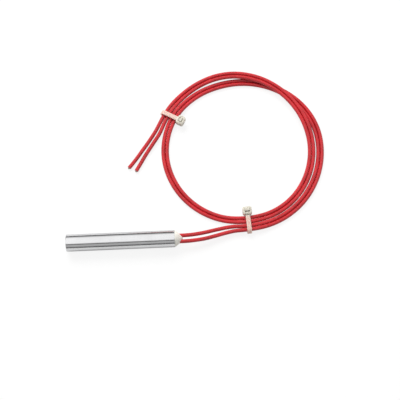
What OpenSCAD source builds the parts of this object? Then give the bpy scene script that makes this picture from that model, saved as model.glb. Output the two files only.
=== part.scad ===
/* [Sheath] */
// Outer diameter of the sheath
sheath_d = 9.5; // [9:0.1:16]
// Length of the sheath
sheath_l = 60; // [40:1:150]
// Wall of the sheath
sheath_wall = 0.6; // [0.4:0.05:0.9]
// Chamfer round the closed end
end_chamfer = 0.45; // [0.1:0.05:0.6]
// Chamfer round the rim at the lead end
rim_chamfer = 0.15; // [0.05:0.05:0.3]
// Thickness of the welded end plug
plug_t = 2.5; // [1:0.1:5]

/* [Heating element] */
// Thickness of the insulating disc on the end plug
disc_t = 1.5; // [0.5:0.1:3]
// Diameter of the ceramic core
core_d = 6; // [5.2:0.1:6.4]
// Diameter of the resistance wire
wire_d = 0.36; // [0.2:0.02:0.4]
// Number of turns of the winding
turns = 22; // [10:1:30]
// Bare length of core at each end of the winding
cold_l = 3; // [1.5:0.1:6]
// Diameter of the terminal pins
pin_d = 1; // [0.6:0.05:1.2]
// Distance between the two pins, and between the two leads
pin_pitch = 3.4; // [2.8:0.1:3.6]
// Length of the short pin inside the core
short_pin_l = 8; // [4:0.5:20]

/* [Lead end] */
// Depth of the seal inside the sheath
seal_depth = 12; // [9:0.5:20]
// Thickness of the ceramic bush
bush_t = 2; // [1:0.1:3]
// Outer diameter of a crimp barrel
crimp_d = 1.9; // [1.6:0.05:2.2]
// Length of a crimp barrel
crimp_l = 5; // [4:0.1:6]
// Length of stripped conductor between crimp and insulation
strip_l = 1.5; // [0.5:0.1:2]
// Height of the seal outside the sheath
seal_h = 4.4; // [2:0.1:6]
// Width of bare rim left round the seal
seal_rim = 0.3; // [0.1:0.05:0.5]
// Radius of the seal's blunt tip
seal_tip_r = 0.8; // [0.4:0.1:1.2]

/* [Leads] */
// Outer diameter of a lead
lead_d = 2.2; // [1.8:0.05:2.4]
// Diameter of the stranded conductor
conductor_d = 0.95; // [0.6:0.05:1]
// How far the conductor stands out of a cut end
wire_out = 0.5; // [0.2:0.1:2]
// Mean radius of the coil of leads
coil_r = 44.5; // [43:0.5:46]

/* [Cable ties] */
// Width of the strap
tie_w = 2.5; // [2:0.1:3]
// Thickness of the strap
tie_t = 1.1; // [0.8:0.1:1.4]
// Width of the head across the strap
head_w = 5.2; // [4:0.1:6]
// Height of the head along the slot
head_h = 3.4; // [2.6:0.1:4]
// Wall of the head beside the bundle
head_front = 1; // [0.6:0.1:1.5]
// Wall of the head at its back
head_back = 1.5; // [0.8:0.1:2]
// Room in the head for the pawl
pawl_room = 0.8; // [0.5:0.1:1]
// Spacing of the strap's teeth
tooth_pitch = 0.8; // [0.6:0.1:1.2]
// Length of strap left above the head
stub_l = 0.5; // [0.2:0.1:3]

/* [Hidden] */
$fn = 64;

// Clearance between a piece and the round it sits in
seat_gap = 0.03;
// Clearance of a pin, crimp or lead in its hole
hole_gap = 0.06;
// Clearance between end faces of a lead's stretches
butt_gap = 0.01;
// How far a cut reaches past the piece it is made in
cut_over = 1;

// Places along the axis, measured from the closed end
disc_s = plug_t;
core_s = disc_s + disc_t;
seal_s = sheath_l - seal_depth;
bush_s = seal_s - bush_t;
core_l = bush_s - core_s;
crimp_s = seal_s + hole_gap;
pin_end_s = crimp_s + crimp_l / 2;
long_pin_s = core_s + hole_gap;
short_pin_s = bush_s - short_pin_l;
crimp_out_s = crimp_s + crimp_l + hole_gap;
lead_s = crimp_s + crimp_l + strip_l;
tip_s = sheath_l + seal_h;

// The cartridge lies along X with the leads towards +X, centred over the origin
axis_z = sheath_d / 2;
closed_x = -tip_s / 2;
tip_x = tip_s / 2;

// Radii of the nested pieces
bore_r = sheath_d / 2 - sheath_wall;
nest_r = bore_r - seat_gap;
core_hole_r = pin_d / 2 + hole_gap;
pin_y = pin_pitch / 2;

// Winding: the wire's facets stay outside the core between their corners
wire_sides = 6;
turn_steps = 12;
winding_r = (core_d / 2 + seat_gap + wire_d / 2) / cos(180 / turn_steps);
winding_l = core_l - 2 * cold_l;
winding_out_r = winding_r + wire_d / 2;
fill_bore_r = winding_out_r + seat_gap;
// The core's end slots take the wire's legs in to the pins
slot_w = wire_d + 4 * hole_gap;

// Coil of leads: four turns side by side between the ties, two along the rest
coil_out = 34;
coil_x = tip_x + coil_out;
coil_y = 52;
lower_angle = -86;
left_angle = 150;
lay_gap = 0.1;
lay_pitch = lead_d + lay_gap;
lay_r = lead_d / 2 + lay_gap;
tie_gap = 0.1;
tie_bend_r = lay_r + tie_gap;
coil_z = tie_t + tie_bend_r;
// Places of the turns across the coil, counted outwards from its middle line
inner_places = [-1.5, -0.5];
outer_places = [0.5, 1.5];

// Hand-chosen points of the leads from the seal to the coil, with x measured from the seal's tip
run_1_points = [[6, 2, 4.6], [12, 3, 3.9], [18, 4.4, 3.1], [24, 5.6, 2.6], [29, 6.2, 2.4]];
run_2_points = [[6, -1.4, 4.6], [12, -0.5, 3.9], [18, 1, 3.1], [24, 2.6, 2.6], [29, 3.6, 2.4]];
// Hand-chosen points of the leads from the coil to their cut ends, measured the same way
tail_1_points = [[-11, 64, 2.1], [-15, 58, 1.6], [-19, 52, 1.3], [-22, 47, 1.2], [-25, 42, 1.2]];
tail_2_points = [[-13, 66, 2.1], [-17, 60, 1.6], [-21, 54.5, 1.3], [-25, 49, 1.2], [-29, 44, 1.2]];
lead_sides = 8;

// Cable tie, in the plane across the coil with x outwards from the coil's middle line
bend_x = 1.5 * lay_pitch;
front_x = -bend_x - tie_bend_r;
strap_x = front_x - head_front - pawl_room;
slot_gap = 0.1;
back_x = strap_x - tie_t - slot_gap - head_back;
rise_r = 1;
rise_z = tie_t + rise_r;
head_z = rise_z + slot_gap;
head_round = 1;
tooth_depth = 0.25;
tooth_w = 0.4 * tooth_pitch;
tooth_l = 0.7 * tie_w;

// Unit vector along v
function unit(v) = v / norm(v);
// Direction of a path at its point i
function heading(path, i) = unit(path[min(i + 1, len(path) - 1)] - path[max(i - 1, 0)]);
// Ring of points round a path at its point i, turned by the reference direction
function ring(path, i, r, sides, ref) =
    let (t = heading(path, i), b = unit(ref - (ref * t) * t), n = cross(b, t))
    [for (k = [0 : sides - 1]) path[i] + r * (cos(360 * k / sides) * n + sin(360 * k / sides) * b)];

// Tube swept along a path, with flat ends
module tube(path, r, sides, ref) {
    count = len(path);
    points = [for (i = [0 : count - 1]) each ring(path, i, r, sides, ref)];
    walls = [
        for (i = [0 : count - 2], k = [0 : sides - 1])
            let (a = i * sides + k, b = i * sides + (k + 1) % sides)
            each [[a, b, b + sides], [a, b + sides, a + sides]]
    ];
    first_end = [for (k = [sides - 1 : -1 : 0]) k];
    last_end = [for (k = [0 : sides - 1]) (count - 1) * sides + k];
    polyhedron(points, concat([first_end], walls, [last_end]));
}

// Puts a piece turned about Z onto the heater's axis, at distance s from the closed end
module on_axis(s) translate([closed_x + s, 0, axis_z]) rotate([0, 90, 0]) children();

// Round bar on the heater's axis, or beside it by y
module bar(s, l, r, y = 0) translate([0, y, 0]) on_axis(s) cylinder(h = l, r = r);

// Point beside the coil's end face at an angle, at a place across it and a distance along the lead
function coil_point(angle, place, along) =
    let (r = coil_r + place * lay_pitch)
    [coil_x + r * cos(angle) - along * sin(angle), coil_y + r * sin(angle) + along * cos(angle), coil_z];

// Puts a piece on the coil's middle line at an angle, with x outwards
module on_coil(angle)
    translate([coil_x, coil_y, 0]) rotate([0, 0, angle]) translate([coil_r, 0, 0]) children();

module sheath() color("gainsboro") on_axis(0) rotate_extrude() polygon([
    [bore_r, 0],
    [sheath_d / 2 - end_chamfer, 0],
    [sheath_d / 2, end_chamfer],
    [sheath_d / 2, sheath_l - rim_chamfer],
    [sheath_d / 2 - rim_chamfer, sheath_l],
    [bore_r, sheath_l]
]);

module end_plug() color("silver") bar(0, plug_t, nest_r);

module end_disc() color("khaki") bar(disc_s, disc_t, nest_r);

module ceramic_core() color("ivory") difference() {
    bar(core_s, core_l, core_d / 2);
    for (side = [-1, 1]) bar(core_s - cut_over, core_l + 2 * cut_over, core_hole_r, side * pin_y);
    end_slot(core_s - cut_over, cut_over + cold_l + slot_w / 2, -1);
    end_slot(bush_s - cold_l - slot_w / 2, cut_over + cold_l + slot_w / 2, 1);
}

// Slot from one pin hole out through the core's side
module end_slot(s, l, side)
    translate([closed_x + s, side > 0 ? pin_y : -core_d, axis_z - slot_w / 2])
    cube([l, core_d - pin_y, slot_w]);

// Path of the resistance wire: a leg out from the long pin, the turns, and a leg in to the short pin
leg_r = pin_y + pin_d / 2 + hole_gap;
wire_steps = turns * turn_steps + turn_steps / 2;
function winding_point(s, r, angle) = [closed_x + s, r * cos(angle), axis_z + r * sin(angle)];
wire_path = concat(
    [winding_point(core_s + cold_l, leg_r, 180)],
    [for (i = [0 : wire_steps])
        winding_point(core_s + cold_l + winding_l * i / wire_steps, winding_r, 180 + 360 * i / turn_steps)],
    [winding_point(bush_s - cold_l, leg_r, 0)]
);

module heating_coil() color("dimgray") tube(wire_path, wire_d / 2, wire_sides, [1, 0, 0]);

module magnesia_fill() color("white") difference() {
    bar(core_s, core_l, nest_r);
    bar(core_s - cut_over, core_l + 2 * cut_over, fill_bore_r);
}

module long_pin() color("lightgray") bar(long_pin_s, pin_end_s - long_pin_s, pin_d / 2, -pin_y);

module short_pin() color("lightgray") bar(short_pin_s, pin_end_s - short_pin_s, pin_d / 2, pin_y);

module ceramic_bush() color("ivory") difference() {
    bar(bush_s, bush_t, nest_r);
    for (side = [-1, 1]) bar(bush_s - cut_over, bush_t + 2 * cut_over, core_hole_r, side * pin_y);
}

module crimp(side) color("lightgray") difference() {
    bar(crimp_s, crimp_l, crimp_d / 2, side * pin_y);
    bar(crimp_s - cut_over, crimp_l + 2 * cut_over, core_hole_r, side * pin_y);
}
module crimp_1() crimp(1);
module crimp_2() crimp(-1);

module conductor(side) color("peru") bar(pin_end_s, lead_s - pin_end_s, conductor_d / 2, side * pin_y);
module conductor_1() conductor(1);
module conductor_2() conductor(-1);

// Outline of the seal: a spigot in the sheath, a rounded shoulder and a bowed cone to a blunt tip
seal_r = sheath_d / 2 - seal_rim;
shoulder_h = 0.1 * seal_h;
nose_h = 0.05 * seal_h;
nose_r = 0.6 * seal_tip_r;
cone_steps = 8;
cone_bow = 0.35;
function cone_point(t) = [
    seal_tip_r + (seal_r - seal_tip_r) * (1 - t) + cone_bow * sin(180 * t),
    seal_depth + shoulder_h + (seal_h - shoulder_h - nose_h) * t
];
seal_outline = concat(
    [[0, 0], [nest_r, 0], [nest_r, seal_depth], [seal_r, seal_depth]],
    [for (i = [0 : cone_steps]) cone_point(i / cone_steps)],
    [[nose_r, tip_s - seal_s], [0, tip_s - seal_s]]
);

module end_seal() color("oldlace") difference() {
    on_axis(seal_s) rotate_extrude() polygon(seal_outline);
    for (side = [-1, 1]) {
        bar(seal_s - cut_over, crimp_out_s - seal_s + cut_over, crimp_d / 2 + hole_gap, side * pin_y);
        bar(seal_s, lead_s - seal_s + cut_over, conductor_d / 2 + hole_gap, side * pin_y);
        bar(lead_s, tip_s - lead_s + cut_over, lead_d / 2 + hole_gap, side * pin_y);
    }
}

// Straight stretch of lead through the seal, then the route to the coil
exit_l = 1.5;
entry_l = 4;
function from_tip(points) = [for (p = points) [tip_x, 0, 0] + p];
function run_path(side, points, place) = concat(
    [for (x = [closed_x + lead_s, tip_x - entry_l, tip_x + exit_l]) [x, side * pin_y, axis_z]],
    from_tip(points),
    [coil_point(lower_angle, place, -entry_l), coil_point(lower_angle, place, -butt_gap)]
);
function tail_path(points, place) = concat(
    [coil_point(left_angle, place, butt_gap), coil_point(left_angle, place, entry_l)],
    from_tip(points)
);
tail_1_path = tail_path(tail_1_points, outer_places[0]);
tail_2_path = tail_path(tail_2_points, outer_places[1]);

module lead(path) color("crimson") tube(path, lead_d / 2, lead_sides, [0, 0, 1]);
module lead_1_run() lead(run_path(1, run_1_points, outer_places[0]));
module lead_2_run() lead(run_path(-1, run_2_points, outer_places[1]));
module lead_1_tail() lead(tail_1_path);
module lead_2_tail() lead(tail_2_path);

// Turns of lead side by side in the coil's section
module turns_of_lead(places)
    for (place = places) translate([coil_r + place * lay_pitch, 0]) circle(r = lay_r);

// The inner turns go all the way round, and the outer ones from the lower tie to the left one
module lead_coil() color("crimson") translate([coil_x, coil_y, coil_z]) {
    rotate_extrude() turns_of_lead(inner_places);
    rotate([0, 0, lower_angle])
        rotate_extrude(angle = left_angle - lower_angle) turns_of_lead(outer_places);
}

// Bare conductor in the cut end of a lead
module wire_end(path) {
    last = len(path) - 1;
    direction = unit(path[last] - path[last - 1]);
    color("peru") translate(path[last] + butt_gap * direction)
        rotate([0, acos(direction.z), atan2(direction.y, direction.x)])
        cylinder(h = wire_out, d = conductor_d);
}
module wire_end_1() wire_end(tail_1_path);
module wire_end_2() wire_end(tail_2_path);

// Part of a flat ring between two radii, kept inside a square on one side of its centre
module bend(inner_r, corner, size) intersection() {
    difference() {
        circle(r = inner_r + tie_t);
        circle(r = inner_r);
    }
    translate(corner) square(size);
}

// Strap of a tie in its plane: over the bundle, round its outer side, back under it and up the slot
module strap_outline() {
    reach = tie_bend_r + tie_t;
    rise = rise_r + tie_t;
    translate([front_x, coil_z + tie_bend_r]) square([bend_x - front_x, tie_t]);
    translate([bend_x, coil_z]) bend(tie_bend_r, [0, -reach], [reach, 2 * reach]);
    translate([strap_x + rise_r, 0]) square([bend_x - strap_x - rise_r, tie_t]);
    translate([strap_x + rise_r, rise_z]) bend(rise_r, [-rise, -rise], [rise, rise]);
    translate([strap_x - tie_t, rise_z]) square([tie_t, head_z + head_h + stub_l - rise_z]);
}

// Gaps between the strap's teeth, on the face towards the bundle
module tooth_gaps() {
    for (x = [strap_x + rise_r : tooth_pitch : bend_x])
        translate([x, 0, tie_t]) cube([tooth_w, tooth_l, 2 * tooth_depth], center = true);
    for (z = [head_z + head_h + stub_l - tooth_pitch : -tooth_pitch : rise_z])
        translate([strap_x, 0, z]) cube([2 * tooth_depth, tooth_l, tooth_w], center = true);
}

// Head of a tie with round upright edges and the slot through it
module tie_head() translate([0, 0, head_z]) linear_extrude(head_h) difference() {
    union() {
        translate([back_x + head_round, -head_w / 2]) square([front_x - back_x - 2 * head_round, head_w]);
        translate([back_x, -head_w / 2 + head_round]) square([front_x - back_x, head_w - 2 * head_round]);
        for (x = [back_x + head_round, front_x - head_round], y = [-1, 1])
            translate([x, y * (head_w / 2 - head_round)]) circle(r = head_round);
    }
    translate([strap_x - tie_t - slot_gap, -tie_w / 2 - slot_gap])
        square([tie_t + slot_gap + pawl_room, tie_w + 2 * slot_gap]);
}

// Pawl that leans from the head's front wall to the strap's teeth
pawl_x = strap_x + pawl_room + slot_gap;
pawl_root_z = head_z + 0.2 * head_h;
pawl_root_h = 0.3 * head_h;
pawl_tip_z = head_z + 0.65 * head_h;
pawl_tip_h = 0.25 * head_h;
module pawl() rotate([90, 0, 0]) linear_extrude(tooth_l, center = true) polygon([
    [pawl_x, pawl_root_z],
    [pawl_x, pawl_root_z + pawl_root_h],
    [strap_x + seat_gap, pawl_tip_z + pawl_tip_h],
    [strap_x + seat_gap, pawl_tip_z]
]);

module tie(angle) color("linen") on_coil(angle) {
    difference() {
        rotate([90, 0, 0]) linear_extrude(tie_w, center = true) strap_outline();
        tooth_gaps();
    }
    tie_head();
    pawl();
}
module lower_tie() tie(lower_angle);
module left_tie() tie(left_angle);

sheath();
end_plug();
end_disc();
ceramic_core();
heating_coil();
magnesia_fill();
long_pin();
short_pin();
ceramic_bush();
crimp_1();
crimp_2();
conductor_1();
conductor_2();
end_seal();
lead_1_run();
lead_2_run();
lead_coil();
lead_1_tail();
lead_2_tail();
wire_end_1();
wire_end_2();
lower_tie();
left_tie();
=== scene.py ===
import math

import bmesh
import bpy
from mathutils import Matrix, Vector


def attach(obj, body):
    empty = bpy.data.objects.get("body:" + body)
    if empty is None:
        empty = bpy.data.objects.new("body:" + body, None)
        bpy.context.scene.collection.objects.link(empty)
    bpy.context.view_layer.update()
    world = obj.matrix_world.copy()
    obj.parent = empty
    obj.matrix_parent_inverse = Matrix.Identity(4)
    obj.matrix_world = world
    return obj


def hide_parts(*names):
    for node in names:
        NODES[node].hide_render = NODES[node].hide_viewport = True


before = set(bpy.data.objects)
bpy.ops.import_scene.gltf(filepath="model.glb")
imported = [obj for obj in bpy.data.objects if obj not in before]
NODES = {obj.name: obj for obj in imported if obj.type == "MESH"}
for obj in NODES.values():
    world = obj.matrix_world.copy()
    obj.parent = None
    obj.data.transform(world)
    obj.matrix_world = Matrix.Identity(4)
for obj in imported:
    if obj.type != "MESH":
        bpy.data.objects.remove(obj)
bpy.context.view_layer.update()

MM = 0.001

# Sizes that the looks share with the construction, in metres
SHEATH_R = 4.75 * MM
SHEATH_L = 60 * MM
BORE_R = 4.15 * MM
FIT_GAP = 0.03 * MM
AXIS_Z = 4.75 * MM
CLOSED_X = -32.2 * MM
MOUTH_X = CLOSED_X + SHEATH_L
TIP_X = 32.2 * MM
LEAD_START_X = 22.36 * MM
LEAD_Y = 1.7 * MM
LEAD_D = 2.2 * MM
CONDUCTOR_D = 0.95 * MM
WIRE_OUT = 0.5 * MM
COIL_CENTRE = Vector((66.2 * MM, 52 * MM, 0))
COIL_R = 44.5 * MM
COIL_Z = 2.4 * MM
LYING_Z = 1.15 * MM
LAY_PITCH = 2.3 * MM

# Where the ties sit round the coil, in degrees
LOWER_TIE = -86
LEFT_TIE = 150


# Camera

VIEW_AZIMUTH, VIEW_ELEVATION = math.radians(-2.5), math.radians(72)
VIEW_TARGET = Vector((0.0428, 0.0234, 0))
VIEW_DISTANCE = 0.533
VIEW_ANGLE = math.radians(24)
VIEW_FROM, VIEW_TO = 0.01, 20


def add_camera():
    level = math.cos(VIEW_ELEVATION)
    back = Vector((math.sin(VIEW_AZIMUTH) * level, -math.cos(VIEW_AZIMUTH) * level, math.sin(VIEW_ELEVATION)))
    data = bpy.data.cameras.new("camera")
    data.angle = VIEW_ANGLE
    data.clip_start, data.clip_end = VIEW_FROM, VIEW_TO
    camera = new_object("camera", data)
    camera.location = VIEW_TARGET + VIEW_DISTANCE * back
    camera.rotation_euler = back.to_track_quat("Z", "Y").to_euler()
    bpy.context.scene.camera = camera


# Meshes

ON_AXIS = 1e-7


def new_object(name, data):
    obj = bpy.data.objects.new(name, data)
    bpy.context.scene.collection.objects.link(obj)
    return obj


def smooth(mesh, sharp_angle=None):
    mesh.shade_smooth()
    if sharp_angle is not None:
        mesh.set_sharp_from_angle(angle=math.radians(sharp_angle))


def object_from(bm, name, sharp_angle=None):
    """Object from a finished mesh, with its faces turned outwards and its rounds smooth."""
    bmesh.ops.recalc_face_normals(bm, faces=bm.faces)
    mesh = bpy.data.meshes.new(name)
    bm.to_mesh(mesh)
    bm.free()
    smooth(mesh, sharp_angle)
    return new_object(name, mesh)


def bridge(bm, rings):
    """Joins each ring of points to the next and gives the faces. A ring of one point is a pole."""
    faces = []
    for first, second in zip(rings, rings[1:]):
        a, b = len(first), len(second)
        count = max(a, b)
        for k in range(count):
            n = (k + 1) % count
            corners = (first[k % a], first[n % a], second[n % b], second[k % b])
            faces.append(bm.faces.new(list(dict.fromkeys(corners))))
    return faces


def lathe(name, profile, start_x, steps=160, sharp_angle=35):
    """Solid turned about the cartridge's axis, from (distance along it, radius) points."""
    bm = bmesh.new()
    turns = [2 * math.pi * k / steps for k in range(steps)]
    is_loop = profile[0] == profile[-1]
    rings = []
    for along, radius in profile[:-1] if is_loop else profile:
        x = start_x + along
        if radius < ON_AXIS:
            rings.append([bm.verts.new((x, 0, AXIS_Z))])
            continue
        rings.append([bm.verts.new((x, radius * math.cos(turn), AXIS_Z + radius * math.sin(turn)))
                      for turn in turns])
    if is_loop:
        rings.append(rings[0])
    bridge(bm, rings)
    return object_from(bm, name, sharp_angle)


def rounded(before, corner, after, radius, steps=5):
    """Points of a round that stands in for a corner of a profile."""
    a = corner + radius * (before - corner).normalized()
    b = corner + radius * (after - corner).normalized()
    return [a.lerp(corner, t).lerp(corner.lerp(b, t), t) for t in (i / steps for i in range(steps + 1))]


def smoothstep(low, high, value):
    t = min(1, max(0, (value - low) / (high - low)))
    return t * t * (3 - 2 * t)


def headings(path):
    """Direction of a path at each of its points."""
    return [(after - before).normalized() for before, after in zip([path[0], *path], [*path[1:], path[-1]])]


def apply_modifiers(obj):
    """Turns an object and its modifiers into a plain mesh."""
    depsgraph = bpy.context.evaluated_depsgraph_get()
    mesh = bpy.data.meshes.new_from_object(obj.evaluated_get(depsgraph))
    obj.modifiers.clear()
    obj.data = mesh
    mesh.name = obj.name


def dress(obj, material):
    obj.data.materials.clear()
    obj.data.materials.append(material)
    for polygon in obj.data.polygons:
        polygon.material_index = 0


def finish_piece(obj, material, slot, *nodes):
    """Dresses a finished piece, hangs it on the root body and hides the solids of the construction it stands
    for.
    """
    dress(obj, material)
    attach(obj, "root")
    if nodes:
        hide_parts(*nodes)
    return obj


# Nodes, for trees of geometry and for materials

def node(tree, kind, settings=None, **inputs):
    """New node with its settings and inputs. An input is named, or numbered as i0, i1 and so on."""
    made = tree.nodes.new(kind)
    for key, value in (settings or {}).items():
        setattr(made, key, value)
    for key, value in inputs.items():
        is_number = key[0] == "i" and key[1:].isdigit()
        socket = made.inputs[int(key[1:]) if is_number else key.replace("_", " ")]
        if isinstance(value, bpy.types.NodeSocket):
            tree.links.new(value, socket)
        else:
            socket.default_value = value
    return made


def math_node(tree, operation, *values):
    inputs = {f"i{i}": value for i, value in enumerate(values)}
    return node(tree, "ShaderNodeMath", {"operation": operation}, **inputs).outputs[0]


def new_tree(name, sizes, **others):
    """Empty tree for geometry, with named inputs for its sizes, its finish and what else it needs."""
    tree = bpy.data.node_groups.new(name, "GeometryNodeTree")
    kinds = {"Geometry": "NodeSocketGeometry", **others}
    kinds.update({size: "NodeSocketFloat" for size in sizes})
    kinds["Finish"] = "NodeSocketMaterial"
    for label, kind in kinds.items():
        tree.interface.new_socket(label, in_out="INPUT", socket_type=kind)
    tree.interface.new_socket("Geometry", in_out="OUTPUT", socket_type="NodeSocketGeometry")
    return tree, node(tree, "NodeGroupInput").outputs


def point_values(tree, name):
    return node(tree, "GeometryNodeInputNamedAttribute", {"data_type": "FLOAT_VECTOR"}, Name=name).outputs[0]


def turn_of_points(tree):
    return node(tree, "FunctionNodeEulerToRotation", i0=point_values(tree, "turn")).outputs[0]


def end_tree(tree, geometry, finish):
    """Ends a tree in real geometry with its finish."""
    real = node(tree, "GeometryNodeRealizeInstances", Geometry=geometry)
    painted = node(tree, "GeometryNodeSetMaterial", Geometry=real.outputs[0], Material=finish)
    node(tree, "NodeGroupOutput", i0=painted.outputs[0])
    return tree


def run_tree(obj, tree, values):
    """Runs a tree on an object with its named inputs set, and keeps the result as a plain mesh."""
    modifier = obj.modifiers.new(tree.name, "NODES")
    modifier.node_group = tree
    for item in tree.interface.items_tree:
        if item.item_type == "SOCKET" and item.in_out == "INPUT" and item.name in values:
            modifier[item.identifier] = values[item.name]
    apply_modifiers(obj)


def points_object(name, points, **values):
    """Loose points that carry named values, for a tree to set something on."""
    mesh = bpy.data.meshes.new(name)
    mesh.from_pydata([tuple(point) for point in points], [], [])
    for label, rows in values.items():
        layer = mesh.attributes.new(label, "FLOAT_VECTOR", "POINT")
        layer.data.foreach_set("vector", [value for row in rows for value in row])
    return new_object(name, mesh)


# Routes of the leads

# Points of each lead before and after the coil, in millimetres from the seal's tip
RUN_1 = ((6, 2, 4.6), (12, 3, 3.9), (18, 4.4, 3.1), (24, 5.6, 2.6), (29, 6.2, 2.4))
RUN_2 = ((6, -1.4, 4.6), (12, -0.5, 3.9), (18, 1, 3.1), (24, 2.6, 2.6), (29, 3.6, 2.4))
TAIL_1 = ((-11, 64, 2.1), (-15, 58, 1.6), (-19, 52, 1.3), (-22, 47, 1.2), (-25, 42, 1.2))
TAIL_2 = ((-13, 66, 2.1), (-17, 60, 1.6), (-21, 54.5, 1.3), (-25, 49, 1.2), (-29, 44, 1.2))

# Straight stretches inside the seal, out of it, and along the coil past each tie
INSIDE_L = 4 * MM
EXIT_L = 1.5 * MM
ENTRY_L = 4 * MM

# Lay of the coil, with angles in degrees: where the pair of leads crosses over itself and lifts,
# and how it rises to the ties and lies loose between them
CROSS_FROM, CROSS_TO = 8, 112
LIFT = 2.35 * MM
LIFT_RAMP, LIFT_OVERLAP = 34, 24
TIE_RISE = 24
LOOSE_FROM, LOOSE_TO = 4, 58
PAIR_SPREAD = 0.06
PAIR_CLOSING = 0.037
WANDER = 0.15 * MM
WANDER_WAVES = ((2.7, 1), (5.1, 0.5))
ROUTE_STEP = 6
FINE_STEPS = 16


def coil_point(angle, place):
    """Point of a lead in the coil, at an angle that goes on from the lower tie past a whole turn.

    The two leads lie side by side as a pair, and the pair's second pass crosses over its first one.
    """
    second_pass = angle > LOWER_TIE + 360
    on_thick = not LEFT_TIE < angle < LOWER_TIE + 360
    here = angle - 360 if second_pass else angle
    start, end = (LOWER_TIE, LEFT_TIE) if on_thick else (LEFT_TIE, LOWER_TIE + 360)
    from_tie = min(here - start, end - here)
    free = smoothstep(0, TIE_RISE, from_tie)
    loose = smoothstep(LOOSE_FROM, LOOSE_TO, from_tie)
    pair = -1
    if on_thick:
        cross = smoothstep(CROSS_FROM, CROSS_TO, here)
        pair = 2 * cross - 1 if second_pass else 1 - 2 * cross
    aside = (place - 1) * (1 - PAIR_CLOSING * free)
    drift = sum(share * math.sin(math.radians(rate * angle)) for rate, share in WANDER_WAVES)
    radius = COIL_R + LAY_PITCH * (pair * (1 + PAIR_SPREAD * loose) + aside) + WANDER * loose * drift
    z = COIL_Z + (LYING_Z - COIL_Z) * free
    if second_pass:
        rise = smoothstep(CROSS_FROM - LIFT_RAMP, CROSS_FROM + LIFT_OVERLAP, here)
        fall = smoothstep(CROSS_TO - LIFT_OVERLAP, CROSS_TO + LIFT_RAMP, here)
        z += LIFT * rise * (1 - fall)
    turn = math.radians(angle)
    return COIL_CENTRE + Vector((radius * math.cos(turn), radius * math.sin(turn), z))


def coil_end(angle, place, along):
    """Point where a lead goes straight on from the coil at a tie."""
    turn = math.radians(angle)
    radius = COIL_R + place * LAY_PITCH
    return COIL_CENTRE + Vector((radius * math.cos(turn) - along * math.sin(turn),
                                 radius * math.sin(turn) + along * math.cos(turn), COIL_Z))


def from_tip(points):
    return [Vector((TIP_X + x * MM, y * MM, z * MM)) for x, y, z in points]


def lead_route(side, place, run, tail):
    """Route of one lead: through the seal, along the run, round the coil and out along the tail."""
    points = [Vector((x, side * LEAD_Y, AXIS_Z)) for x in (LEAD_START_X, TIP_X - INSIDE_L, TIP_X + EXIT_L)]
    points += from_tip(run)
    points.append(coil_end(LOWER_TIE, place, -ENTRY_L))
    swept = LEFT_TIE + 360 - LOWER_TIE
    steps = swept // ROUTE_STEP
    points += [coil_point(LOWER_TIE + i * swept / steps, place) for i in range(steps + 1)]
    points.append(coil_end(LEFT_TIE, place, ENTRY_L))
    return points + from_tip(tail)


def through(points, gap):
    """Points on a smooth line through the given ones, spaced evenly by about the gap, and its length."""
    ends = [2 * points[0] - points[1], *points, 2 * points[-1] - points[-2]]
    fine = []
    for before, first, second, after in zip(ends, ends[1:], ends[2:], ends[3:]):
        steps = first - before, second - first, after - second
        pull_in, pull, pull_out = [step.length ** 0.5 for step in steps]
        start = (second - before) / (pull_in + pull) * pull
        end = (after - first) / (pull + pull_out) * pull
        for i in range(FINE_STEPS):
            t = i / FINE_STEPS
            fine.append((2 * t**3 - 3 * t**2 + 1) * first + (t**3 - 2 * t**2 + t) * start
                        + (3 * t**2 - 2 * t**3) * second + (t**3 - t**2) * end)
    fine.append(points[-1])
    sums = [0]
    for a, b in zip(fine, fine[1:]):
        sums.append(sums[-1] + (b - a).length)
    length = sums[-1]
    count = max(2, round(length / gap))
    even, at = [], 0
    for i in range(count + 1):
        want = length * i / count
        while at < len(sums) - 2 and sums[at + 1] < want:
            at += 1
        even.append(fine[at].lerp(fine[at + 1], (want - sums[at]) / (sums[at + 1] - sums[at])))
    return even, length


# Leads and their cut ends

# The tube has four points to each ridge of its braid, round it and along it
BRAID_STRANDS = 4
BRAID_RELIEF = 0.015 * MM
TUBE_SIDES = 8 * BRAID_STRANDS
TUBE_GAP = math.pi * LEAD_D / TUBE_SIDES

# Strands of the bare conductor, in rings of one, six and twelve
STRAND_RINGS = ((0, 1), (1, 6), (2, 12))
STRAND_R = CONDUCTOR_D / 10
STRAND_L = 0.96 * WIRE_OUT
STRAND_LAY = 9 * MM
STRAND_PACKING = 0.97
STRAND_STAGGER = 0.2
STRAND_SLIM = 0.94
STRAND_TAPER = 0.8
STRAND_SPLAY = 0.05
STRAND_UNEVEN = 0.22

# Section of the glass fibre ring as (radius, distance past the cut), in millimetres
FIBRE_SECTION = ((0.47, -0.1), (0.47, 0.03), (0.52, 0.05), (0.7, 0.045), (0.76, 0.02), (0.78, -0.1))
FIBRE_STEPS = 32


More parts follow.
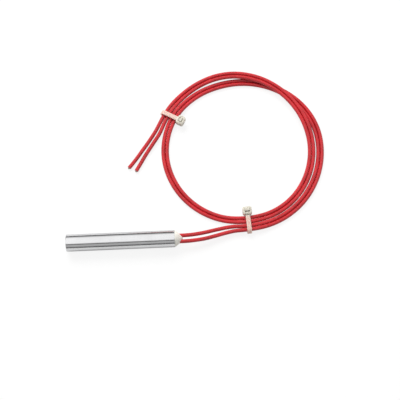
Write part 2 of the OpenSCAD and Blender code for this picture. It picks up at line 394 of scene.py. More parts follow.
def lead_tube(name, path):
    """Braided tube along a path, with low ridges where the strands of the braid pass over each other."""
    bm = bmesh.new()
    uv = bm.loops.layers.uv.new("UVMap")
    turns = [2 * math.pi * k / TUBE_SIDES for k in range(TUBE_SIDES)]
    rings, distances = [], []
    distance, last, up = 0, path[0], Vector((0, 0, 1))
    for point, heading in zip(path, headings(path)):
        up = (up - up.dot(heading) * heading).normalized()
        side = heading.cross(up)
        distance += (point - last).length
        last = point
        distances.append(distance)
        phase = distance / (LEAD_D / 2)
        ring = []
        for turn in turns:
            ridge = math.cos(BRAID_STRANDS * (turn + phase)) * math.cos(BRAID_STRANDS * (turn - phase))
            radius = LEAD_D / 2 - BRAID_RELIEF + BRAID_RELIEF * ridge
            ring.append(bm.verts.new(point + radius * (math.cos(turn) * side + math.sin(turn) * up)))
        rings.append(ring)
    for number, face in enumerate(bridge(bm, rings)):
        i, k = divmod(number, TUBE_SIDES)
        for loop, (around, along) in zip(face.loops, ((k, i), (k + 1, i), (k + 1, i + 1), (k, i + 1))):
            loop[uv].uv = (around / TUBE_SIDES, distances[along])
    bm.faces.new(rings[0])
    bm.faces.new(rings[-1])
    return object_from(bm, name, sharp_angle=60)


def strand_tree():
    """Sets one strand on every point, turned and sized as the points say."""
    tree, given = new_tree("strands", ("Strand Radius", "Strand Length"))
    strand = node(tree, "GeometryNodeMeshCone", Vertices=8, Side_Segments=3, Depth=given["Strand Length"],
                  Radius_Bottom=given["Strand Radius"],
                  Radius_Top=math_node(tree, "MULTIPLY", given["Strand Radius"], STRAND_TAPER))
    placed = node(tree, "GeometryNodeInstanceOnPoints", Points=given["Geometry"],
                  Instance=strand.outputs["Mesh"], Rotation=turn_of_points(tree),
                  Scale=point_values(tree, "size"))
    return end_tree(tree, placed.outputs[0], given["Finish"])


def mixed_up(strand, ring):
    """Share from 0 to 1 that jumps about from strand to strand in a fixed order."""
    return (strand * 7 + ring * 3) % 5 / 4


def cut_strands(name, tip, out, wire_node):
    """Strands of a conductor that stand out of a cut lead: one, six round it and twelve outside."""
    across = out.cross(Vector((0, 0, 1))).normalized()
    up = across.cross(out)
    points, turns, sizes = [], [], []
    for ring, count in STRAND_RINGS:
        for k in range(count):
            angle = 2 * math.pi * k / count + STRAND_STAGGER * ring
            aside = ring * 2 * STRAND_R * STRAND_PACKING * (math.cos(angle) * across + math.sin(angle) * up)
            twist = 2 * math.pi / STRAND_LAY * out.cross(aside)
            lean = (out + twist + STRAND_SPLAY * aside.normalized()).normalized()
            length = 1 - STRAND_UNEVEN * mixed_up(k, ring)
            points.append(tip + aside + out * (STRAND_L * length / 2))
            turns.append(lean.to_track_quat("Z", "Y").to_euler())
            sizes.append((1, 1, length))
    strands = points_object(name, points, turn=turns, size=sizes)
    run_tree(strands, strand_nodes, {"Strand Radius": STRAND_R * STRAND_SLIM, "Strand Length": STRAND_L,
                                     "Finish": copper})
    smooth(strands.data, sharp_angle=40)
    return finish_piece(strands, copper, "conductor", wire_node)


def cut_layer(name, tip, out):
    """Ring of glass fibre that shows between the conductor and the red braid at a cut end."""
    bm = bmesh.new()
    place = Matrix.Translation(tip) @ out.to_track_quat("Z", "Y").to_matrix().to_4x4()
    turns = [2 * math.pi * k / FIBRE_STEPS for k in range(FIBRE_STEPS)]
    rings = []
    for radius, along in FIBRE_SECTION:
        r = radius * MM
        rings.append([bm.verts.new(place @ Vector((r * math.cos(turn), r * math.sin(turn), along * MM)))
                      for turn in turns])
    bridge(bm, rings + rings[:1])
    finish_piece(object_from(bm, name, sharp_angle=40), fibre, "lead_red")


def braided_lead(number, side, place, run, tail):
    """One lead over its whole length, with what shows at its cut end."""
    path, length = through(lead_route(side, place, run, tail), TUBE_GAP)
    tip, out = path[-1], (path[-1] - path[-4]).normalized()
    strands = cut_strands(f"strands_{number}", tip, out, f"wire_end_{number}")
    cut_layer(f"fibre_layer_{number}", tip, out)
    lead = lead_tube(f"lead_{number}", path)
    finish_piece(lead, braid_red, "lead_red", f"lead_{number}_run", f"lead_{number}_tail", "lead_coil")


# Pieces of the cartridge

def sheath_tube(name):
    """Polished tube: rounded edge at the closed end, small chamfer at the mouth and a bore for the seal."""
    edge_round, chamfer = 0.45 * MM, 0.15 * MM
    plug_depth, seal_depth = 2 * MM, 3 * MM
    bore_edge, corner, mouth_edge = Vector((0, BORE_R)), Vector((0, SHEATH_R)), Vector((SHEATH_L, SHEATH_R))
    profile = [
        (plug_depth, BORE_R),
        (0, BORE_R),
        *[tuple(point) for point in rounded(bore_edge, corner, mouth_edge, edge_round)],
        (SHEATH_L - chamfer, SHEATH_R),
        (SHEATH_L - 0.3 * chamfer, SHEATH_R - 0.3 * chamfer),
        (SHEATH_L, SHEATH_R - chamfer),
        (SHEATH_L, BORE_R),
        (SHEATH_L - seal_depth, BORE_R),
        (plug_depth, BORE_R),
    ]
    finish_piece(lathe(name, profile, CLOSED_X), sheath_steel, "sheath_steel", "sheath")


def end_face(name):
    """Face of the end plug: a weld seam sunk round it, faint turning rings and a small centre."""
    radius, depth = BORE_R - FIT_GAP, 2.5 * MM
    rings, ring_depth, face_depth = 26, 0.004 * MM, 0.008 * MM
    centre_r, plain_w = 0.35 * MM, 0.75 * MM
    centre = [(0.3 * MM, 0), (0.12 * MM, 0.18 * MM), (0.03 * MM, 0.3 * MM)]
    turned_face = [
        (face_depth + ring_depth * math.cos(math.pi * i), centre_r + (radius - plain_w) * i / rings)
        for i in range(rings + 1)
    ]
    seam = [(0.03 * MM, radius - 0.3 * MM), (0.1 * MM, radius - 0.12 * MM), (0.16 * MM, radius)]
    profile = centre + turned_face + seam + [(depth, radius), (depth, 0)]
    finish_piece(lathe(name, profile, CLOSED_X, sharp_angle=50), plug_steel, "plug_steel", "end_plug")


def potted_seal(name):
    """Potting that fills the mouth, bows out to a blunt tip and wets the leads where they come out."""
    depth, height, rim_r, tip_r = 1.5 * MM, 4.4 * MM, 4.45 * MM, 0.8 * MM
    bow, bow_from, bow_part, bow_steps = 0.35 * MM, 0.08, 0.87, 12
    profile = [(-depth, 0), (-depth, BORE_R - FIT_GAP), (0, BORE_R - FIT_GAP), (0, rim_r)]
    for t in (i / bow_steps for i in range(bow_steps + 1)):
        radius = tip_r + (rim_r - tip_r) * (1 - t) + bow * math.sin(math.pi * t)
        profile.append((height * (bow_from + bow_part * t), radius))
    profile += [(height, 0.5 * tip_r), (height, 0)]
    seal = lathe(name, profile, MOUTH_X, steps=96)
    collar_x, collar_l, collar_r, collar_end_r = MOUTH_X + 1.3 * MM, 2.8 * MM, 1.4 * MM, 1.2 * MM
    bm = bmesh.new()
    bm.from_mesh(seal.data)
    for side in (-1, 1):
        place = Matrix.Translation((collar_x, side * LEAD_Y, AXIS_Z)) @ Matrix.Rotation(math.pi / 2, 4, "Y")
        bmesh.ops.create_cone(bm, cap_ends=True, segments=48, radius1=collar_r, radius2=collar_end_r,
                              depth=collar_l, matrix=place)
    bm.to_mesh(seal.data)
    bm.free()
    fuse = seal.modifiers.new("fuse", "REMESH")
    fuse.mode = "VOXEL"
    fuse.voxel_size = 0.1 * MM
    relax = seal.modifiers.new("relax", "SMOOTH")
    relax.factor, relax.iterations = 0.5, 9
    apply_modifiers(seal)
    smooth(seal.data)
    finish_piece(seal, potting, "potting", "end_seal")


# Cable ties, in the plane across the coil with x outwards from the coil's middle line, in millimetres

TIE_W, TIE_T, STRAP_ROUND = 2.5, 1.1, 0.28
BEND_X, BEND_R = 3.45, 1.3
BUNDLE_Z = 2.4
FRONT_X, STRAP_X, BACK_X = -4.75, -6.55, -9.25
ROOT_DEPTH = 0.4
OVER_X, UNDER_X = (-2, 0.7), (0.5, -2.5)
RISE_R, RISE_Z = 1.0, 2.1
SLOT_Z, STUB_TOP = 3.6, 6.1
TOOTH_PITCH, TOOTH_DEPTH, TOOTH_L = 0.8, 0.25, 1.75
TOOTH_W = 0.6 * TOOTH_PITCH
PLAIN_DEPTH = 0.02
HEAD_Z, HEAD_H, HEAD_W, HEAD_ROUND, HEAD_STEPS = 2.2, 3.4, 5.2, 1.0, 72
SLOT_GAP, PAWL_ROOM, SLOT_ROUND, SLOT_FLARE = 0.1, 0.8, 0.2, 0.18

# Round edges of the head as (distance from its bottom or top, inset)
HEAD_FOOT = ((0, 0.35), (0.1, 0.12), (0.35, 0))
HEAD_CROWN = ((0.5, 0), (0.32, 0.04), (0.14, 0.18), (0, 0.45))
LEAST_ROUND = 0.05

# Search along a ray for the edge of the head
FARTHEST, HALVINGS = 12.0, 40


def arc(x, z, radius, first, last, steps):
    """Points of an arc between two angles in degrees."""
    turns = [math.radians(first + (last - first) * i / steps) for i in range(steps + 1)]
    return [Vector((x + radius * math.cos(turn), 0, z + radius * math.sin(turn))) for turn in turns]


def strap_line():
    """Middle line of the strap: over the bundle, round its outer side, back under it and up the head."""
    half = TIE_T / 2
    top = BUNDLE_Z + BEND_R + half
    line = [Vector((x, 0, top)) for x in (FRONT_X - ROOT_DEPTH, *OVER_X)]
    line += arc(BEND_X, BUNDLE_Z, BEND_R + half, 90, -90, steps=18)
    toothed_from = len(line) - 1
    line += [Vector((x, 0, half)) for x in UNDER_X]
    line += arc(STRAP_X + RISE_R, RISE_Z, RISE_R + half, -90, -180, steps=10)
    line += [Vector((STRAP_X - half, 0, z)) for z in (SLOT_Z, STUB_TOP)]
    return line, toothed_from


def strap_section(channel):
    """Points round the strap's section as (across, inwards), with a channel on its inner face."""
    w, t, r = TIE_W / 2, TIE_T / 2, STRAP_ROUND
    corner_steps, channel_slope = 4, 0.03
    right = []
    for x, n, first, last in ((w, -t, -90, 0), (w, t, 0, 90)):
        cx, cn = x - r, n - math.copysign(r, n)
        for i in range(corner_steps + 1):
            turn = math.radians(first + (last - first) * i / corner_steps)
            right.append((cx + r * math.cos(turn), cn + r * math.sin(turn)))
    half = TOOTH_L / 2
    right += [(half + channel_slope, t), (half, t - channel)]
    return right + [(-x, n) for x, n in reversed(right)]


def sweep_strap(bm):
    """Strap along its line, which keeps its place along and across it and where it lies on the leads."""
    line, toothed_from = strap_line()
    layers = [bm.verts.layers.float.new(label) for label in ("strap_along", "strap_across", "over_leads")]
    rings, distance, last = [], 0, line[0]
    for i, (point, heading) in enumerate(zip(line, headings(line))):
        distance += (point - last).length
        last = point
        inward = heading.cross(Vector((0, -1, 0)))
        over = smoothstep(FRONT_X, FRONT_X + 1, point.x)
        ring = []
        for x, n in strap_section(TOOTH_DEPTH if i > toothed_from else PLAIN_DEPTH):
            vert = bm.verts.new(point + x * Vector((0, 1, 0)) + n * inward)
            for layer, value in zip(layers, (distance, x / (TIE_W / 2), over)):
                vert[layer] = value
            ring.append(vert)
        rings.append(ring)
    bridge(bm, rings)
    bm.faces.new(rings[0])
    bm.faces.new(rings[-1])


def rounded_box_reach(centre, direction, low, high, radius):
    """How far a ray from the centre goes before it leaves a rectangle with rounded corners."""
    near, far = 0.0, FARTHEST
    middle = (low + high) / 2
    half = (high - low) / 2 - Vector((radius, radius))
    for _ in range(HALVINGS):
        mid = (near + far) / 2
        p = centre + mid * direction - middle
        q = Vector((max(abs(p.x) - half.x, 0), max(abs(p.y) - half.y, 0)))
        near, far = (mid, far) if q.length <= radius else (near, mid)
    return near


def tie_head(bm):
    """Moulded head with round edges and a slot through it, wider at its mouths."""
    outside = Vector((BACK_X, -HEAD_W / 2)), Vector((FRONT_X, HEAD_W / 2)), HEAD_ROUND
    slot_low = Vector((STRAP_X - TIE_T - SLOT_GAP, -TIE_W / 2 - SLOT_GAP))
    slot_high = Vector((STRAP_X + PAWL_ROOM, TIE_W / 2 + SLOT_GAP))
    slot = slot_low, slot_high, SLOT_ROUND
    centre = (slot_low + slot_high) / 2
    top = HEAD_Z + HEAD_H
    shells = [(outside, HEAD_Z + rise, inset) for rise, inset in HEAD_FOOT]
    shells += [(outside, top - drop, inset) for drop, inset in HEAD_CROWN]
    shells += [(slot, top, -SLOT_FLARE), (slot, top - SLOT_FLARE, 0)]
    shells += [(slot, HEAD_Z + SLOT_FLARE, 0), (slot, HEAD_Z, -SLOT_FLARE)]
    rings = []
    for (low, high, radius), z, inset in shells:
        edge, corner = Vector((inset, inset)), max(LEAST_ROUND, radius - inset)
        ring = []
        for k in range(HEAD_STEPS):
            angle = 2 * math.pi * (k + 0.5) / HEAD_STEPS
            direction = Vector((math.cos(angle), math.sin(angle)))
            reach = rounded_box_reach(centre, direction, low + edge, high - edge, corner)
            spot = centre + reach * direction
            ring.append(bm.verts.new((spot.x, spot.y, z)))
        rings.append(ring)
    bridge(bm, rings + rings[:1])


def tie_pawl(bm):
    """Springy tongue inside the head that leans on the strap's teeth."""
    root_x, tip_x = STRAP_X + PAWL_ROOM + SLOT_GAP, STRAP_X + 0.03
    # Outline as (x, share of the head's height)
    outline = ((root_x, 0.2), (root_x, 0.88), (tip_x + 0.1, 0.95),
               (tip_x, 0.91), (tip_x, 0.72), (tip_x + 0.08, 0.68))
    sides = [[bm.verts.new((x, y, HEAD_Z + share * HEAD_H)) for x, share in outline]
             for y in (-TOOTH_L / 2, TOOTH_L / 2)]
    bridge(bm, sides)
    bm.faces.new(sides[0])
    bm.faces.new(sides[1])


def tooth_tree():
    """Adds a row of teeth to a strap at marked points, and joins them to it."""
    tree, given = new_tree("strap_teeth", ("Tooth Length", "Tooth Height", "Tooth Width"),
                           Strap="NodeSocketObject")
    sizes = node(tree, "ShaderNodeCombineXYZ", i0=given["Tooth Width"], i1=given["Tooth Length"],
                 i2=given["Tooth Height"])
    tooth = node(tree, "GeometryNodeMeshCube", Size=sizes.outputs[0])
    placed = node(tree, "GeometryNodeInstanceOnPoints", Points=given["Geometry"],
                  Instance=tooth.outputs["Mesh"], Rotation=turn_of_points(tree))
    strap = node(tree, "GeometryNodeObjectInfo", i0=given["Strap"])
    joined = node(tree, "GeometryNodeJoinGeometry", Geometry=placed.outputs[0])
    tree.links.new(strap.outputs["Geometry"], joined.inputs[0])
    return end_tree(tree, joined.outputs[0], given["Finish"])


def tooth_places():
    """Places and turns of the strap's teeth: along its under stretch and up its end."""
    places, turns = [], []
    x = STRAP_X + RISE_R
    while x < BEND_X:
        places.append((x + TOOTH_PITCH / 2, 0, TIE_T - TOOTH_DEPTH / 2))
        turns.append((0, 0, 0))
        x += TOOTH_PITCH
    z = STUB_TOP - TOOTH_PITCH / 2
    while z > RISE_Z:
        places.append((STRAP_X - TOOTH_DEPTH / 2, 0, z))
        turns.append((0, math.pi / 2, 0))
        z -= TOOTH_PITCH
    return places, turns


def cable_tie(name, angle, tie_node):
    """Tie round the bundle: strap, head, pawl and teeth, set at its angle round the coil."""
    bm = bmesh.new()
    sweep_strap(bm)
    tie_head(bm)
    tie_pawl(bm)
    body = object_from(bm, name + "_body")
    places, turns = tooth_places()
    tie = points_object(name, places, turn=turns)
    run_tree(tie, tooth_nodes, {"Strap": body, "Tooth Length": TOOTH_L, "Tooth Height": TOOTH_DEPTH,
                                "Tooth Width": TOOTH_W, "Finish": tie_nylon})
    bpy.data.objects.remove(body)
    turn = Matrix.Rotation(math.radians(angle), 4, "Z")
    tie.data.transform(Matrix.Translation(COIL_CENTRE) @ turn @ Matrix.Translation((COIL_R, 0, 0))
                       @ Matrix.Scale(MM, 4))
    smooth(tie.data, sharp_angle=38)
    return finish_piece(tie, tie_nylon, "nylon", tie_node)


# Materials

def new_material(name):
    material = bpy.data.materials.new(name)
    material.use_nodes = True
    tree = material.node_tree
    return material, tree, tree.nodes["Principled BSDF"]


def ramp(tree, factor, stops):
    """Colours or greys at places along a factor."""
    made = node(tree, "ShaderNodeValToRGB", i0=factor)
    elements = made.color_ramp.elements
    while len(elements) < len(stops):
        elements.new(0.5)
    for element, (place, colour) in zip(elements, stops):
        element.position = place
        element.color = (*colour, 1) if isinstance(colour, tuple) else (colour, colour, colour, 1)
    return made.outputs[0]


def remap(tree, value, low, high, first=0.0, last=1.0, ease="SMOOTHSTEP"):
    """Goes from the first result to the last as a value goes from low to high."""
    made = node(tree, "ShaderNodeMapRange", {"interpolation_type": ease}, i0=value, i1=low, i2=high, i3=first,
                i4=last)
    return made.outputs[0]


def mix_colours(tree, share, first, second):
    return node(tree, "ShaderNodeMix", {"data_type": "RGBA"}, i0=share, i6=first, i7=second).outputs[2]


def noise(tree, place, scale, detail, roughness=0.5):
    made = node(tree, "ShaderNodeTexNoise", Vector=place, Scale=scale, Detail=detail, Roughness=roughness)
    return made.outputs[0]


def object_coordinates(tree, scale=(1, 1, 1), location=(0, 0, 0)):
    place = node(tree, "ShaderNodeTexCoord")
    mapped = node(tree, "ShaderNodeMapping", Vector=place.outputs["Object"], Scale=scale, Location=location)
    return mapped.outputs[0]


def set_bump(tree, shader, height, strength, distance):
    made = node(tree, "ShaderNodeBump", Strength=strength, Distance=distance, Height=height)
    tree.links.new(made.outputs[0], shader.inputs["Normal"])


def steel(name, colour, roughness, grain_scale, bump):
    """Ground and polished steel, with fine rings round the axis and a soft cloudiness."""
    material, tree, shader = new_material(name)
    shader.inputs["Metallic"].default_value = 1
    rings = noise(tree, object_coordinates(tree, grain_scale), 1, 3, 0.6)
    clouds = noise(tree, object_coordinates(tree), 90, 3)
    dark = tuple(0.9 * c for c in colour)
    tree.links.new(ramp(tree, clouds, ((0.3, dark), (0.7, colour))), shader.inputs["Base Color"])
    tree.links.new(ramp(tree, rings, ((0.3, roughness * 0.75), (0.7, roughness * 1.3))),
                   shader.inputs["Roughness"])
    set_bump(tree, shader, rings, bump, 0.00002)
    return material


def turned(name, colour, roughness):
    """Faced steel: fine rings of the turning tool round the cartridge's axis."""
    material, tree, shader = new_material(name)
    shader.inputs["Metallic"].default_value = 1
    centred = object_coordinates(tree, location=(0, 0, -AXIS_Z))
    rings = node(tree, "ShaderNodeTexWave", {"wave_type": "RINGS", "rings_direction": "X"}, Vector=centred,
                 Scale=900, Distortion=0.6, Detail=2, Detail_Scale=2).outputs["Fac"]
    grain = noise(tree, centred, 1200, 3)
    dark = tuple(0.84 * c for c in colour)
    tree.links.new(ramp(tree, grain, ((0.3, dark), (0.7, colour))), shader.inputs["Base Color"])
    tree.links.new(ramp(tree, rings, ((0.1, roughness * 0.8), (0.9, roughness * 1.25))),
                   shader.inputs["Roughness"])
    set_bump(tree, shader, rings, 0.35, 0.00004)
    return material


def pressed(name, colour, dark, roughness, scale, bump):
    """Matte pressed or cast mineral with a fine grain."""
    material, tree, shader = new_material(name)
    place = object_coordinates(tree)
    grain = noise(tree, place, scale, 5, 0.6)
    patch = noise(tree, place, scale / 9, 2)
    tree.links.new(ramp(tree, patch, ((0.35, dark), (0.65, colour))), shader.inputs["Base Color"])
    shader.inputs["Roughness"].default_value = roughness
    set_bump(tree, shader, grain, bump, 0.0001)
    return material


def cast(name, colour, dark, roughness):
    """Hand-filled potting: softly mottled, with a fine gritty grain and a few small pores, painted darker as
    shade in them.
    """
    material, tree, shader = new_material(name)
    place = object_coordinates(tree)
    mottle = noise(tree, place, 420, 3, 0.6)
    grit = noise(tree, place, 4200, 4, 0.65)
    cells = node(tree, "ShaderNodeTexVoronoi", Vector=place, Scale=2300)
    depth = remap(tree, cells.outputs["Distance"], 0.08, 0.26)
    chance = node(tree, "ShaderNodeSeparateXYZ", Vector=cells.outputs["Color"])
    few = remap(tree, chance.outputs[0], 0.28, 0.3, ease="LINEAR")
    solid = math_node(tree, "MAXIMUM", depth, few)
    plain = ramp(tree, mottle, ((0.35, dark), (0.65, colour)))
    # Painted shade: the pores' middles are darker than the potting round them
    pore_shade = tuple(0.88 * c for c in dark)
    tree.links.new(mix_colours(tree, solid, (*pore_shade, 1), plain), shader.inputs["Base Color"])
    tree.links.new(ramp(tree, grit, ((0.3, roughness - 0.08), (0.7, roughness + 0.1))),
                   shader.inputs["Roughness"])
    set_bump(tree, shader, math_node(tree, "MULTIPLY_ADD", grit, 0.35, solid), 0.4, 0.00006)
    return material


def braid(name):
    """Varnished red braid: two sets of strands at a slant over the tube's own map, under a satin varnish,
    with painted shade in the low places of the weave.
    """
    material, tree, shader = new_material(name)
    place = node(tree, "ShaderNodeTexCoord")
    parts = node(tree, "ShaderNodeSeparateXYZ", Vector=place.outputs["UV"])
    around = math_node(tree, "MULTIPLY", parts.outputs[0], 2 * math.pi * BRAID_STRANDS)
    along = math_node(tree, "MULTIPLY", parts.outputs[1], BRAID_STRANDS / (LEAD_D / 2))
    slants = [math_node(tree, operation, around, along) for operation in ("ADD", "SUBTRACT")]
    diamonds = math_node(tree, "MULTIPLY", *[math_node(tree, "COSINE", slant) for slant in slants])
    fibres = [math_node(tree, "COSINE", math_node(tree, "MULTIPLY", slant, 8.0)) for slant in slants]
    threads = node(tree, "ShaderNodeMix", {"data_type": "FLOAT"}, i0=remap(tree, diamonds, -0.12, 0.12),
                   i2=fibres[0], i3=fibres[1])
    domes = math_node(tree, "POWER", math_node(tree, "ABSOLUTE", diamonds), 0.5)
    weave = math_node(tree, "MULTIPLY_ADD", threads.outputs[0], 0.22, domes)
    height = remap(tree, weave, -0.22, 1.22, ease="LINEAR")
    blotch = noise(tree, object_coordinates(tree), 160, 3)
    # Painted shade: the colour darkens in the weave's low places between the strands, and varies at random
    # with the blotches
    shade = math_node(tree, "MULTIPLY_ADD", height, 0.38, blotch)
    tree.links.new(ramp(tree, shade, ((0.4, (0.4, 0.004, 0.008)), (0.95, (0.62, 0.018, 0.026)))),
                   shader.inputs["Base Color"])
    tree.links.new(ramp(tree, blotch, ((0.3, 0.36), (0.7, 0.48))), shader.inputs["Roughness"])
    shader.inputs["Specular IOR Level"].default_value = 0.7
    set_bump(tree, shader, height, 0.45, 0.00005)
    return material


def nylon(name):
    """Natural moulded nylon: waxy, with painted red bounce light where it lies on the leads and painted shade
    where its teeth show through.
    """
    material, tree, shader = new_material(name)
    place = object_coordinates(tree)
    grain = noise(tree, place, 1400, 3)
    patch = noise(tree, place, 220, 2)
    along, across, over = [node(tree, "ShaderNodeAttribute", {"attribute_name": label}).outputs["Fac"]
                           for label in ("strap_along", "strap_across", "over_leads")]
    plain = ramp(tree, patch, ((0.3, (0.65, 0.615, 0.525)), (0.7, (0.71, 0.68, 0.59))))
    # Painted red bounce light: the strap's colour turns pink where it lies over the red leads
    red_bounce_tint = mix_colours(tree, over, plain, (0.81, 0.59, 0.51, 1))
    # Painted shade: darker rows where the teeth under the strap show through it over the leads
    wave = math_node(tree, "COSINE", math_node(tree, "MULTIPLY", along, 2 * math.pi / TOOTH_PITCH))
    rows = remap(tree, wave, -0.1, 0.5)
    middle = remap(tree, math_node(tree, "ABSOLUTE", across), 0.65, 0.5)
    teeth = math_node(tree, "MULTIPLY", math_node(tree, "MULTIPLY", rows, middle),
                      math_node(tree, "MULTIPLY", over, 0.4))
    tree.links.new(mix_colours(tree, teeth, red_bounce_tint, (0.6, 0.45, 0.39, 1)), shader.inputs["Base Color"])
    shader.inputs["Subsurface Weight"].default_value = 0.7
    shader.inputs["Subsurface Radius"].default_value = (1, 1, 1)
    shader.inputs["Subsurface Scale"].default_value = 0.0009
    shader.inputs["IOR"].default_value = 1.53
    tree.links.new(ramp(tree, grain, ((0.3, 0.36), (0.7, 0.5))), shader.inputs["Roughness"])
    set_bump(tree, shader, grain, 0.12, 0.00005)
    return material


def paint_node(name, material):
    """Gives a solid of the construction its finish."""
    obj = NODES[name]
    if obj.material_slots:
        for material_slot in obj.material_slots:
            material_slot.material = material
    else:
        obj.data.materials.append(material)


# Floor and light

FLOOR_HALF = 3
FLOOR_GREY = (0.8, 0.8, 0.8, 1)
WHITE = (1, 1, 1, 1)
FADE_CENTRE = (-0.04, -0.05, 0)
FADE_FROM, FADE_TO = 0.16, 0.6
GLOW_NEAR, SHADE_NEAR = 0.85, 0.16
GLOW_IN_METAL, SHADE_IN_METAL = 0.16, 0.6
SOFT_LIGHT = 0.48

# Painted shade: the floor glows less in narrow gaps, where less than this share of the space above it is open
OPEN_SHARE = 0.1
OPEN_REACH, OPEN_SAMPLES = 6 * MM, 16

# Greys that metal reflects, from the horizon behind, over the top, to the horizon in front
SKY = (
    (0.0, 0.03), (0.06, 0.05), (0.12, 0.5), (0.19, 0.95), (0.24, 1.12), (0.61, 1.12), (0.655, 0.8),
    (0.69, 0.08), (0.715, 0.1), (0.76, 0.52), (0.85, 0.48), (0.91, 0.3), (0.96, 0.05), (1.0, 0.04),
)


def add_floor():
    """Floor that keeps the shadows near the part and runs out to plain white further off."""
    bm = bmesh.new()
    bmesh.ops.create_grid(bm, x_segments=1, y_segments=1, size=FLOOR_HALF)
    mesh = bpy.data.meshes.new("floor")
    bm.to_mesh(mesh)
    bm.free()
    floor = new_object("floor", mesh)
    material = bpy.data.materials.new("white_floor")
    material.use_nodes = True
    tree = material.node_tree
    tree.nodes.clear()
    rays = node(tree, "ShaderNodeLightPath").outputs
    glossy = rays["Is Glossy Ray"]
    seen = math_node(tree, "MAXIMUM", rays["Is Camera Ray"], glossy)
    shown = math_node(tree, "MAXIMUM", seen, rays["Is Transmission Ray"])
    reach = node(tree, "ShaderNodeVectorMath", {"operation": "LENGTH"},
                 i0=object_coordinates(tree, location=FADE_CENTRE)).outputs["Value"]
    glow_away = remap(tree, reach, FADE_FROM, FADE_TO, GLOW_NEAR, 1)
    shade_away = remap(tree, reach, FADE_FROM, FADE_TO, SHADE_NEAR, 0)
    # Painted shade in the gaps: the glow dims where the space above the floor is closed in
    openness = node(tree, "ShaderNodeAmbientOcclusion", {"samples": OPEN_SAMPLES}, Distance=OPEN_REACH)
    glow_with_gap_shade = math_node(tree, "MULTIPLY", glow_away, remap(tree, openness.outputs["AO"], 0, OPEN_SHARE))
    glow_share = remap(tree, glossy, 0, 1, glow_with_gap_shade, GLOW_IN_METAL, ease="LINEAR")
    shade_share = remap(tree, glossy, 0, 1, shade_away, SHADE_IN_METAL, ease="LINEAR")
    shade = node(tree, "ShaderNodeBsdfDiffuse", Color=shade_share)
    glow = node(tree, "ShaderNodeEmission", Strength=glow_share)
    white = node(tree, "ShaderNodeAddShader", i0=shade.outputs[0], i1=glow.outputs[0])
    plain = node(tree, "ShaderNodeBsdfDiffuse", Color=FLOOR_GREY)
    mixed = node(tree, "ShaderNodeMixShader", i0=shown, i1=plain.outputs[0], i2=white.outputs[0])
    node(tree, "ShaderNodeOutputMaterial", i0=mixed.outputs[0])
    dress(floor, material)


def add_light(name, location, target, size, power):
    data = bpy.data.lights.new(name, "AREA")
    data.shape = "RECTANGLE"
    data.size, data.size_y = size
    data.energy = power
    light = new_object(name, data)
    light.location = location
    light.visible_glossy = False
    light.rotation_euler = (Vector(location) - Vector(target)).to_track_quat("Z", "Y").to_euler()


def add_world():
    """Soft even light, a studio for metal to reflect, and white where the camera looks past the floor."""
    world = bpy.data.worlds.new("studio")
    world.use_nodes = True
    bpy.context.scene.world = world
    tree = world.node_tree
    tree.nodes.clear()
    place = node(tree, "ShaderNodeTexCoord")
    parts = node(tree, "ShaderNodeSeparateXYZ", Vector=place.outputs["Generated"])
    front = math_node(tree, "MULTIPLY", parts.outputs[1], -1.0)
    angle = math_node(tree, "ARCTAN2", front, parts.outputs[2])
    sky = ramp(tree, remap(tree, angle, -math.pi / 2, math.pi / 2, ease="LINEAR"), SKY)
    rays = node(tree, "ShaderNodeLightPath").outputs
    soft = node(tree, "ShaderNodeBackground", Color=WHITE, Strength=SOFT_LIGHT)
    studio = node(tree, "ShaderNodeBackground", Color=sky, Strength=1)
    white = node(tree, "ShaderNodeBackground", Color=WHITE, Strength=1)
    glossy = rays["Is Glossy Ray"]
    lit = node(tree, "ShaderNodeMixShader", i0=glossy, i1=soft.outputs[0], i2=studio.outputs[0])
    seen = math_node(tree, "MAXIMUM", rays["Is Camera Ray"], rays["Is Transmission Ray"])
    shown = node(tree, "ShaderNodeMixShader", i0=seen, i1=lit.outputs[0], i2=white.outputs[0])
    node(tree, "ShaderNodeOutputWorld", i0=shown.outputs[0])


add_camera()

# Finishes

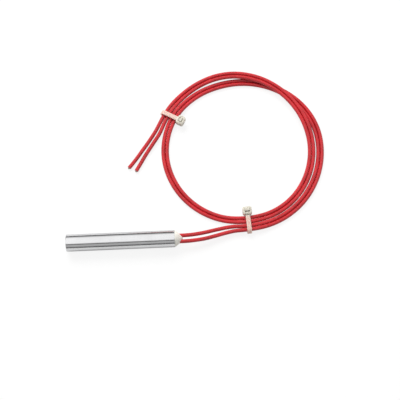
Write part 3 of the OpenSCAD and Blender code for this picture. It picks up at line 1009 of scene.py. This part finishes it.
sheath_steel = steel("sheath_steel", (0.8, 0.8, 0.81), 0.15, grain_scale=(2600, 60, 60), bump=0.02)
plug_steel = turned("plug_steel", (0.66, 0.66, 0.67), 0.26)
nickel = steel("nickel", (0.62, 0.58, 0.5), 0.3, grain_scale=(60, 900, 900), bump=0.2)
winding_wire = steel("winding_wire", (0.3, 0.29, 0.28), 0.42, grain_scale=(900, 900, 900), bump=0.2)
copper = steel("plated_copper", (0.62, 0.45, 0.36), 0.34, grain_scale=(900, 900, 900), bump=0.2)
ceramic = pressed("ceramic", (0.82, 0.8, 0.73), (0.76, 0.73, 0.66), 0.6, scale=900, bump=0.25)
magnesia = pressed("magnesia", (0.88, 0.87, 0.84), (0.8, 0.79, 0.76), 0.9, scale=2200, bump=0.5)
mica = pressed("mica", (0.58, 0.52, 0.4), (0.5, 0.44, 0.32), 0.5, scale=1300, bump=0.2)
potting = cast("potting", (0.94, 0.92, 0.85), (0.87, 0.85, 0.77), 0.55)
fibre = pressed("glass_fibre", (0.7, 0.6, 0.55), (0.55, 0.42, 0.38), 0.8, scale=3000, bump=0.5)
tie_nylon = nylon("tie_nylon")
braid_red = braid("lead_braid")

# Leads and the ties round them

tooth_nodes = tooth_tree()
strand_nodes = strand_tree()
lower_tie = cable_tie("lower_cable_tie", LOWER_TIE, "lower_tie")
left_tie = cable_tie("left_cable_tie", LEFT_TIE, "left_tie")
braided_lead(1, side=1, place=0.5, run=RUN_1, tail=TAIL_1)
braided_lead(2, side=-1, place=1.5, run=RUN_2, tail=TAIL_2)

# Cartridge

sheath_tube("sheath_tube")
end_face("end_plug_face")
potted_seal("potted_seal")

# Pieces inside the sheath

FINISHES = {
    mica: ("end_disc",),
    ceramic: ("ceramic_core", "ceramic_bush"),
    winding_wire: ("heating_coil",),
    magnesia: ("magnesia_fill",),
    nickel: ("long_pin", "short_pin", "crimp_1", "crimp_2"),
    copper: ("conductor_1", "conductor_2"),
}
for finish, names in FINISHES.items():
    for name in names:
        paint_node(name, finish)

# Stage

add_floor()
add_world()
add_light("overhead", location=(-0.15, 0.6, 0.62), target=(0.04, 0.03, 0), size=(0.8, 0.5), power=8)
bpy.context.scene.view_settings.view_transform = "Standard"
